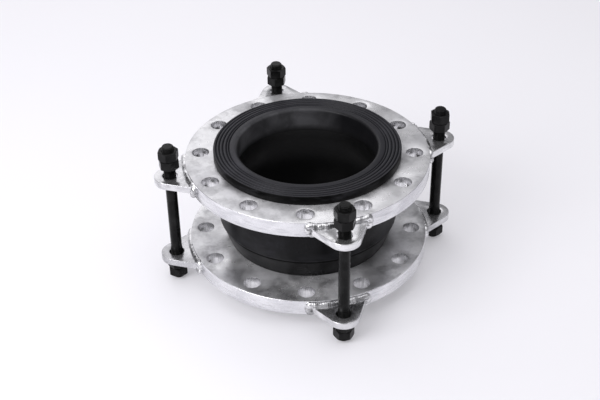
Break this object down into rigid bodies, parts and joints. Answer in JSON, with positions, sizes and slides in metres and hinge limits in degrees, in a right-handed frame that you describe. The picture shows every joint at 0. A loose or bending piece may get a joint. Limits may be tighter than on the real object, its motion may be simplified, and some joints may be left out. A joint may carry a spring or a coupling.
{
  "type": "rubber expansion joint",
  "caption": "Single-arch rubber expansion joint between two drilled backing flanges, with lugs, control rods and paired nuts that limit its stretch.",
  "frame": {"origin": "on the bore axis, level with the lower ends of the control rods, which the joint stands on", "axes": "+Z along the bore towards the upper flange; +X through control rod 1, +Y through control rod 2"},
  "size_m": [0.512, 0.512, 0.26],
  "materials": {
    "galvanised_steel": "bright hot-dip galvanised, softly mottled",
    "weld_metal": "galvanised weld bead, lumpy and bright",
    "black_steel": "black oxide, matte with worn edges",
    "rubber": "moulded satin black",
    "nylon_cord": "rubberised nylon tyre cord",
    "bead_wire": "brass-washed steel wire, bonded"
  },
  "bodies": {
    "lower_flange": {"lower_flange": "galvanised_steel", "lower_bead_ring": "bead_wire", "inner_liner": "rubber", "cord_plies": "nylon_cord", "outer_cover": "rubber", "lower_lug_1": "galvanised_steel", "lower_lug_2": "galvanised_steel", "lower_lug_3": "galvanised_steel", "lower_lug_4": "galvanised_steel", "lower_lug_weld_1": "weld_metal", "lower_lug_weld_2": "weld_metal", "lower_lug_weld_3": "weld_metal", "lower_lug_weld_4": "weld_metal"},
    "upper_flange": {"upper_flange": "galvanised_steel", "upper_bead_ring": "bead_wire", "upper_lug_1": "galvanised_steel", "upper_lug_2": "galvanised_steel", "upper_lug_3": "galvanised_steel", "upper_lug_4": "galvanised_steel", "upper_lug_weld_1": "weld_metal", "upper_lug_weld_2": "weld_metal", "upper_lug_weld_3": "weld_metal", "upper_lug_weld_4": "weld_metal"},
    "control_rod_1": {"control_rod_1": "black_steel"},
    "lower_lock_nut_1": {"lower_lock_nut_1": "black_steel"},
    "lower_limit_nut_1": {"lower_limit_nut_1": "black_steel"},
    "upper_limit_nut_1": {"upper_limit_nut_1": "black_steel"},
    "upper_lock_nut_1": {"upper_lock_nut_1": "black_steel"},
    "control_rod_2": {"control_rod_2": "black_steel"},
    "lower_lock_nut_2": {"lower_lock_nut_2": "black_steel"},
    "lower_limit_nut_2": {"lower_limit_nut_2": "black_steel"},
    "upper_limit_nut_2": {"upper_limit_nut_2": "black_steel"},
    "upper_lock_nut_2": {"upper_lock_nut_2": "black_steel"},
    "control_rod_3": {"control_rod_3": "black_steel"},
    "lower_lock_nut_3": {"lower_lock_nut_3": "black_steel"},
    "lower_limit_nut_3": {"lower_limit_nut_3": "black_steel"},
    "upper_limit_nut_3": {"upper_limit_nut_3": "black_steel"},
    "upper_lock_nut_3": {"upper_lock_nut_3": "black_steel"},
    "control_rod_4": {"control_rod_4": "black_steel"},
    "lower_lock_nut_4": {"lower_lock_nut_4": "black_steel"},
    "lower_limit_nut_4": {"lower_limit_nut_4": "black_steel"},
    "upper_limit_nut_4": {"upper_limit_nut_4": "black_steel"},
    "upper_lock_nut_4": {"upper_lock_nut_4": "black_steel"}
  },
  "joints": [
    {"name": "axial_travel", "type": "slide", "parent": "lower_flange", "child": "upper_flange", "axis": [0, 0, 1], "range_m": [-0.025, 0.0155], "stiffness_N_per_m": 80000, "springref_m": 0.00182, "deforming": ["inner_liner", "cord_plies", "outer_cover"]},
    {"name": "control_rod_1_spin", "type": "hinge", "parent": "lower_flange", "child": "control_rod_1", "pos_m": [0.23, 0, 0.13], "axis": [0, 0, 1], "continuous": true},
    {"name": "lower_lock_nut_1_spin", "type": "hinge", "parent": "control_rod_1", "child": "lower_lock_nut_1", "pos_m": [0.23, 0, 0.0144], "axis": [0, 0, 1], "continuous": true},
    {"name": "lower_limit_nut_1_spin", "type": "hinge", "parent": "control_rod_1", "child": "lower_limit_nut_1", "pos_m": [0.23, 0, 0.0307], "axis": [0, 0, 1], "continuous": true},
    {"name": "upper_limit_nut_1_spin", "type": "hinge", "parent": "control_rod_1", "child": "upper_limit_nut_1", "pos_m": [0.23, 0, 0.228], "axis": [0, 0, 1], "continuous": true},
    {"name": "upper_lock_nut_1_spin", "type": "hinge", "parent": "control_rod_1", "child": "upper_lock_nut_1", "pos_m": [0.23, 0, 0.2443], "axis": [0, 0, 1], "continuous": true},
    {"name": "control_rod_2_spin", "type": "hinge", "parent": "lower_flange", "child": "control_rod_2", "pos_m": [0, 0.23, 0.13], "axis": [0, 0, 1], "continuous": true},
    {"name": "lower_lock_nut_2_spin", "type": "hinge", "parent": "control_rod_2", "child": "lower_lock_nut_2", "pos_m": [0, 0.23, 0.0144], "axis": [0, 0, 1], "continuous": true},
    {"name": "lower_limit_nut_2_spin", "type": "hinge", "parent": "control_rod_2", "child": "lower_limit_nut_2", "pos_m": [0, 0.23, 0.0307], "axis": [0, 0, 1], "continuous": true},
    {"name": "upper_limit_nut_2_spin", "type": "hinge", "parent": "control_rod_2", "child": "upper_limit_nut_2", "pos_m": [0, 0.23, 0.228], "axis": [0, 0, 1], "continuous": true},
    {"name": "upper_lock_nut_2_spin", "type": "hinge", "parent": "control_rod_2", "child": "upper_lock_nut_2", "pos_m": [0, 0.23, 0.2443], "axis": [0, 0, 1], "continuous": true},
    {"name": "control_rod_3_spin", "type": "hinge", "parent": "lower_flange", "child": "control_rod_3", "pos_m": [-0.23, 0, 0.13], "axis": [0, 0, 1], "continuous": true},
    {"name": "lower_lock_nut_3_spin", "type": "hinge", "parent": "control_rod_3", "child": "lower_lock_nut_3", "pos_m": [-0.23, 0, 0.0144], "axis": [0, 0, 1], "continuous": true},
    {"name": "lower_limit_nut_3_spin", "type": "hinge", "parent": "control_rod_3", "child": "lower_limit_nut_3", "pos_m": [-0.23, 0, 0.0307], "axis": [0, 0, 1], "continuous": true},
    {"name": "upper_limit_nut_3_spin", "type": "hinge", "parent": "control_rod_3", "child": "upper_limit_nut_3", "pos_m": [-0.23, 0, 0.228], "axis": [0, 0, 1], "continuous": true},
    {"name": "upper_lock_nut_3_spin", "type": "hinge", "parent": "control_rod_3", "child": "upper_lock_nut_3", "pos_m": [-0.23, 0, 0.2443], "axis": [0, 0, 1], "continuous": true},
    {"name": "control_rod_4_spin", "type": "hinge", "parent": "lower_flange", "child": "control_rod_4", "pos_m": [0, -0.23, 0.13], "axis": [0, 0, 1], "continuous": true},
    {"name": "lower_lock_nut_4_spin", "type": "hinge", "parent": "control_rod_4", "child": "lower_lock_nut_4", "pos_m": [0, -0.23, 0.0144], "axis": [0, 0, 1], "continuous": true},
    {"name": "lower_limit_nut_4_spin", "type": "hinge", "parent": "control_rod_4", "child": "lower_limit_nut_4", "pos_m": [0, -0.23, 0.0307], "axis": [0, 0, 1], "continuous": true},
    {"name": "upper_limit_nut_4_spin", "type": "hinge", "parent": "control_rod_4", "child": "upper_limit_nut_4", "pos_m": [0, -0.23, 0.228], "axis": [0, 0, 1], "continuous": true},
    {"name": "upper_lock_nut_4_spin", "type": "hinge", "parent": "control_rod_4", "child": "upper_lock_nut_4", "pos_m": [0, -0.23, 0.2443], "axis": [0, 0, 1], "continuous": true}
  ]
}
